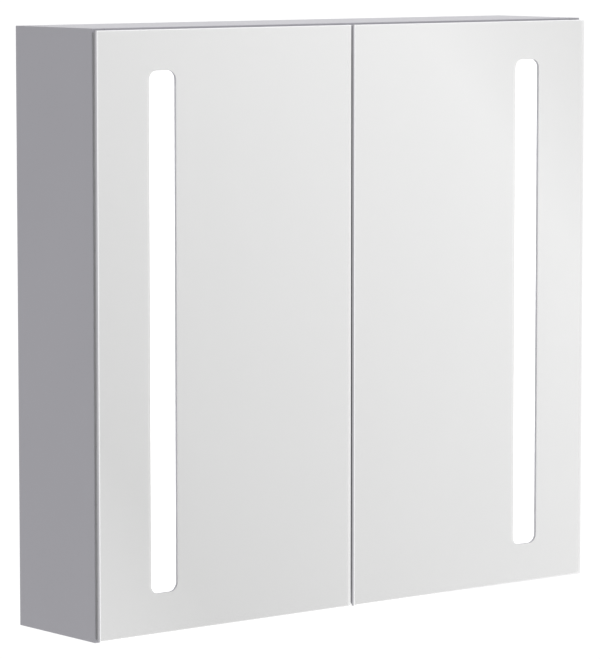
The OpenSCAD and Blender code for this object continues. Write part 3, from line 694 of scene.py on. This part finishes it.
def make_grommet():
    """The rubber grommet: a turned ring with two rolled lips and eased rims to its bore.

    The profile is closed: a rim as a quarter circle, a lip as half a circle, the seat in the
    panel, the other lip, the other rim and back along the bore.
    """
    low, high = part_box("cable_grommet")
    panel_low, panel_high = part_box("back_panel")
    middle = ((low.x + high.x) / 2, 0.0, (low.z + high.z) / 2)
    flange = (high.x - low.x) / 2
    bore = 5.0 * MM                 # radius of the cable's way through
    seat = 7.0 * MM                 # radius of the panel's hole
    lip = (high.y - panel_high.y) / 2
    ease = 0.8 * MM
    profile = joined_profile(
        fillet((bore + ease, low.y + ease), ease, 180, 270),
        fillet((flange - lip, low.y + lip), lip, 270, 450, 12),
        (seat, panel_low.y), (seat, panel_high.y),
        fillet((flange - lip, high.y - lip), lip, 270, 450, 12),
        fillet((bore + ease, high.y - ease), ease, 90, 180))
    points = turned(middle, 1, *profile, steps=64)
    piece = grid_piece("grommet_ring", points, black_rubber())
    stands_for(piece, "cable_grommet", "cabinet")


def make_sensor_lens():
    """The sensor's lens: a shallow dome that looks down, part of a large circle, on a short rim."""
    low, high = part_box("sensor_lens")
    radius = (high.x - low.x) / 2
    rise = 0.45 * (high.z - low.z)
    out = np.linspace(0, 1, 12)
    middle = ((low.x + high.x) / 2, (low.y + high.y) / 2, 0.0)
    radii, heights = joined_profile(
        (0.0, high.z), (radius, high.z),
        (radius * out[::-1], low.z + rise * out[::-1] ** 2))
    points = turned(middle, 2, radii, heights)
    piece = grid_piece("sensor_dome", points, sensor_window(), closed=(False, True))
    stands_for(piece, "sensor_lens", "cabinet")


def make_strike_plate(side):
    """The catch's strike plate: a pressed plate with round corners and a rolled front edge.

    Rings run from the middle of the back out to its edge, round the front edge by a quarter
    circle, and in to the middle of the front.
    """
    low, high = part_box(side + "_strike_plate")
    roll = np.linspace(0, np.pi / 2, 5)
    edge = 0.35 * MM
    corner = 1.5 * MM
    insets = np.append(0.0, edge * (1 - np.cos(roll)))
    depths = np.append(low.y, high.y - edge + edge * np.sin(roll))
    outlines = [box_outline(low, high, corner - inset, inset) for inset in insets]
    pole = np.broadcast_to(outlines[0].mean(axis=0), outlines[0].shape)
    rings = plate_rings([pole, *outlines, pole], [low.y, *depths, high.y])
    piece = grid_piece(side + "_strike", rings, zinc_plate(), closed=(False, True), smooth=False)
    stands_for(piece, side + "_strike_plate", side + "_door")


# ---- Operators ----

class CABINET_OT_body(bpy.types.Operator):
    """Lacquers the body's panels, and finishes the interior mirror and the fittings in them"""

    bl_idname = "cabinet.body"
    bl_label = "Body"

    def execute(self, context):
        finishes = context.scene.cabinet_finishes
        panels = ["left_side_panel", "right_side_panel", "top_panel", "bottom_panel", "back_panel"]
        dress(panels, satin_lacquer(finishes.lacquer), finishes.panel_rounding)
        dress(["interior_mirror"], mirror_silver(finishes.silver, finishes.ground_edge))
        dress(["cam_locks", "cam_bolts"], zinc_plate(), finishes.metal_rounding)
        return {"FINISHED"}


class CABINET_OT_doors(bpy.types.Operator):
    """Finishes the doors: glass, silver layer, inner mirror, lit insert and small fittings"""

    bl_idname = "cabinet.doors"
    bl_label = "Doors"

    def execute(self, context):
        finishes = context.scene.cabinet_finishes
        for side in SIDES:
            dress([side + "_door_glass"],
                  front_glass(finishes.glass, finishes.ground_edge, finishes.painted_edge_glow))
            dress([side + "_inner_mirror"], mirror_silver(finishes.silver, finishes.ground_edge))
            dress([side + "_window_insert"], lit_opal(finishes.glow, finishes.glow_strength))
            make_silvering(side, finishes)
            make_bumpers(side)
            make_strike_plate(side)
        return {"FINISHED"}


class CABINET_OT_hinges(bpy.types.Operator):
    """Finishes the continuous hinges and their screws"""

    bl_idname = "cabinet.hinges"
    bl_label = "Hinges"

    def execute(self, context):
        names = [f"{side}_hinge_{part}" for side in SIDES for part in ("body_leaf", "door_leaf", "pin")]
        rounding = context.scene.cabinet_finishes.metal_rounding
        dress(names + ["hinge_screws"], satin_steel(), rounding)
        return {"FINISHED"}


class CABINET_OT_lights(bpy.types.Operator):
    """Finishes the light housings, boards, diodes, diffusers and end caps"""

    bl_idname = "cabinet.lights"
    bl_label = "Lights"

    def execute(self, context):
        finishes = context.scene.cabinet_finishes
        for side in SIDES:
            dress([side + "_light_housing"], anodised_aluminium(), finishes.metal_rounding)
            dress([side + "_led_board"], circuit_board(LAMP_PITCH))
            dress([side + "_diffuser"], lit_opal(finishes.glow, finishes.glow_strength),
                  finishes.metal_rounding)
        dress(["led_chips"], lit_diode(finishes.glow))
        dress(["light_end_caps"], white_moulding(), finishes.metal_rounding)
        return {"FINISHED"}


class CABINET_OT_shelves(bpy.types.Operator):
    """Finishes the glass shelves and their supports"""

    bl_idname = "cabinet.shelves"
    bl_label = "Shelves"

    def execute(self, context):
        finishes = context.scene.cabinet_finishes
        dress(["upper_shelf", "lower_shelf"], shelf_glass(finishes.glass), 0.5 * MM)
        dress(["shelf_supports"], satin_steel(), 0.5 * MM)
        return {"FINISHED"}


class CABINET_OT_wall_hanging(bpy.types.Operator):
    """Finishes the wall rail, the hangers, their hooks and their adjusting screws"""

    bl_idname = "cabinet.wall_hanging"
    bl_label = "Wall hanging"

    def execute(self, context):
        finishes = context.scene.cabinet_finishes
        hooks = [side + "_hanger_hook" for side in SIDES]
        dress(["wall_rail", "hanger_adjusting_screws"] + hooks, zinc_plate(), finishes.metal_rounding)
        dress([side + "_hanger_body" for side in SIDES], white_moulding(), 0.5 * MM)
        return {"FINISHED"}


class CABINET_OT_wiring(bpy.types.Operator):
    """Finishes the driver, the terminal block, the leads, the grommet and the service cover"""

    bl_idname = "cabinet.wiring"
    bl_label = "Wiring"

    def execute(self, context):
        finishes = context.scene.cabinet_finishes
        dress(["service_cover"], powder_coat(finishes.lacquer), finishes.metal_rounding)
        dress(["led_driver", "terminal_block"], white_moulding(), 0.5 * MM)
        smooth_leads(["mains_link_lead", "left_light_lead", "right_light_lead", "sensor_lead"],
                     lead_sleeve())
        make_grommet()
        return {"FINISHED"}


class CABINET_OT_catch(bpy.types.Operator):
    """Finishes the magnetic catch and the like screws of the whole cabinet"""

    bl_idname = "cabinet.catch"
    bl_label = "Catch and screws"

    def execute(self, context):
        rounding = context.scene.cabinet_finishes.metal_rounding
        dress(["door_catch"], white_moulding(), 0.4 * MM)
        dress(["catch_magnets"], sintered_magnet(), rounding)
        dress(["pan_head_screws"], zinc_plate(), rounding)
        return {"FINISHED"}


class CABINET_OT_sensor(bpy.types.Operator):
    """Finishes the sensor under the cabinet, and makes its lens"""

    bl_idname = "cabinet.sensor"
    bl_label = "Sensor"

    def execute(self, context):
        rounding = context.scene.cabinet_finishes.metal_rounding
        dress(["sensor_housing", "sensor_nut"], black_moulding(), rounding)
        make_sensor_lens()
        return {"FINISHED"}


class CABINET_OT_studio(bpy.types.Operator):
    """Sets up the pale floor, the soft surrounding light and the camera"""

    bl_idname = "cabinet.studio"
    bl_label = "Studio"

    def execute(self, context):
        studio = context.scene.cabinet_studio
        low, high = (Vector(corner) for corner in CAD_BOUNDS)
        make_floor(studio, low.z - studio.floor_drop)
        light_studio(context.scene)
        place_camera(context.scene, studio, (low + high) / 2)
        context.scene.view_settings.view_transform = "Standard"
        return {"FINISHED"}


# ---- Studio ----

@finish
def studio_floor(n, radius):
    """Pale paper with a painted glow that grows outwards until it can't be told from the background.

    From below it is clear, so that it doesn't hide the cabinet's underside.
    """
    place = n.add("ShaderNodeTexCoord", output="Object")
    out = n.add("ShaderNodeVectorMath", {"operation": "LENGTH"}, [place], "Value") * (1 / radius)
    fibre = n.noise(0.004, 3)
    # Painted glow, faint in the middle and strong at the rim
    painted_floor_glow = n.ramp(out, [(0.0, 0.18), (0.9, 0.9)])
    paper = n.principled(
        Base_Color=n.blend(fibre, (0.80, 0.80, 0.80, 1), (0.83, 0.83, 0.83, 1)),
        Roughness=0.8, Emission_Color=painted_floor_glow, Emission_Strength=1.0)
    below = n.add("ShaderNodeNewGeometry", output="Backfacing")
    return n.add("ShaderNodeMixShader", inputs=[below, paper, n.add("ShaderNodeBsdfTransparent")])


def make_floor(studio, height):
    """A disc that faces up: rings of growing radius about its middle."""
    radii = studio.floor_radius * np.array([0.0, 0.25, 0.5, 0.75, 1.0])
    points = turned((0, 0, height), 2, radii, np.zeros(5), steps=96)
    floor = grid_piece("floor", points, studio_floor(studio.floor_radius), closed=(False, True))
    if floor.data.polygons[0].normal.z < 0:
        floor.data.flip_normals()


def light_studio(scene):
    """Light that surrounds the cabinet: dim on its left, bright above and on its right.

    The doors face a graded card, whose tone falls from its bright band to its dim one along a
    slanted line, and a small card on the left lights the front glass's bevels.
    """
    world = bpy.data.worlds.new("studio")
    world.use_nodes = True
    scene.world = world
    n = Nodes(world.node_tree)
    way = n.add("ShaderNodeTexCoord", output="Generated")

    def along(direction):
        """How far the way to a point of the surroundings lies along a direction."""
        return n.add("ShaderNodeVectorMath", {"operation": "DOT_PRODUCT"}, [way, direction], "Value")

    # The surroundings' tone from left to right, and more light from above
    side = along((0.5, 0, 0)) + 0.5
    up = along((0, 0, 1))
    surround = n.ramp(side, [(0.0, 0.288), (0.3, 0.472), (0.62, 0.82), (1.0, 1.0)]) + up.above(0) * 0.24

    # The graded card: how near its middle is, and its tone across its slanted bands
    card_middle = along((0.627, -0.772, -0.105))
    slant = along((0.8186, 0.5782, 0.6365)) * 2.0 + 0.5
    card = n.ramp(slant, [(0.20, 0.86), (0.311, 0.776), (0.361, 0.729), (0.664, 0.943),
                          (0.735, 0.860), (0.85, 0.74)])
    on_card = n.add("ShaderNodeMapRange", {"interpolation_type": "SMOOTHSTEP"},
                    [card_middle, 0.93, 0.975, 0.0, 1.0])

    # The small card on the left
    rim = n.add("ShaderNodeMapRange", {"interpolation_type": "SMOOTHSTEP"},
                [along((-0.77, -0.63, -0.10)), 0.955, 0.985, 0.0, 0.68])
    level = n.add("ShaderNodeMix", {"data_type": "FLOAT"}, {0: on_card, 2: surround, 3: card}) + rim

    # The camera sees a plain white background instead of all this
    surroundings = n.add("ShaderNodeBackground", inputs={"Color": level, "Strength": 1.0})
    backdrop = n.add("ShaderNodeBackground", inputs={"Color": (1, 1, 1, 1), "Strength": 1.05})
    seen = n.add("ShaderNodeLightPath", output="Is Camera Ray")
    n.output(n.add("ShaderNodeMixShader", inputs=[seen, surroundings, backdrop]),
             "ShaderNodeOutputWorld")


def place_camera(scene, studio, middle):
    """Stands the camera off along its azimuth and elevation, looking at the aim point."""
    level = math.cos(studio.elevation)
    outward = Vector((math.sin(studio.azimuth) * level, -math.cos(studio.azimuth) * level,
                      math.sin(studio.elevation)))
    data = bpy.data.cameras.new("camera")
    data.lens = studio.lens
    data.clip_start = 0.05
    data.clip_end = 100.0
    camera = bpy.data.objects.new("camera", data)
    camera.location = middle + Vector(studio.aim) + outward * studio.distance
    camera.rotation_euler = (-outward).to_track_quat("-Z", "Y").to_euler()
    scene.collection.objects.link(camera)
    scene.camera = camera


# ---- Add-on ----

PIECE_OPERATORS = (
    CABINET_OT_body, CABINET_OT_doors, CABINET_OT_hinges, CABINET_OT_lights, CABINET_OT_shelves,
    CABINET_OT_wall_hanging, CABINET_OT_wiring, CABINET_OT_catch, CABINET_OT_sensor,
)


class CABINET_PT_panel(bpy.types.Panel):
    """Lists the cabinet's settings and operators"""

    bl_label = "Mirror Cabinet"
    bl_idname = "CABINET_PT_panel"
    bl_space_type = "VIEW_3D"
    bl_region_type = "UI"
    bl_category = "Mirror Cabinet"

    def draw(self, context):
        for group in (context.scene.cabinet_finishes, context.scene.cabinet_studio):
            box = self.layout.box()
            for name in group.__annotations__:
                box.prop(group, name)
        for operator in (*PIECE_OPERATORS, CABINET_OT_studio):
            self.layout.operator(operator.bl_idname)


CLASSES = (CabinetFinishes, CabinetStudio, *PIECE_OPERATORS, CABINET_OT_studio, CABINET_PT_panel)


def register():
    for cls in CLASSES:
        bpy.utils.register_class(cls)
    bpy.types.Scene.cabinet_finishes = PointerProperty(type=CabinetFinishes)
    bpy.types.Scene.cabinet_studio = PointerProperty(type=CabinetStudio)


def unregister():
    del bpy.types.Scene.cabinet_studio
    del bpy.types.Scene.cabinet_finishes
    for cls in reversed(CLASSES):
        bpy.utils.unregister_class(cls)


def main():
    register()
    for operator in (*PIECE_OPERATORS, CABINET_OT_studio):
        category, name = operator.bl_idname.split(".")
        getattr(getattr(bpy.ops, category), name)()


if __name__ == "__main__":
    main()
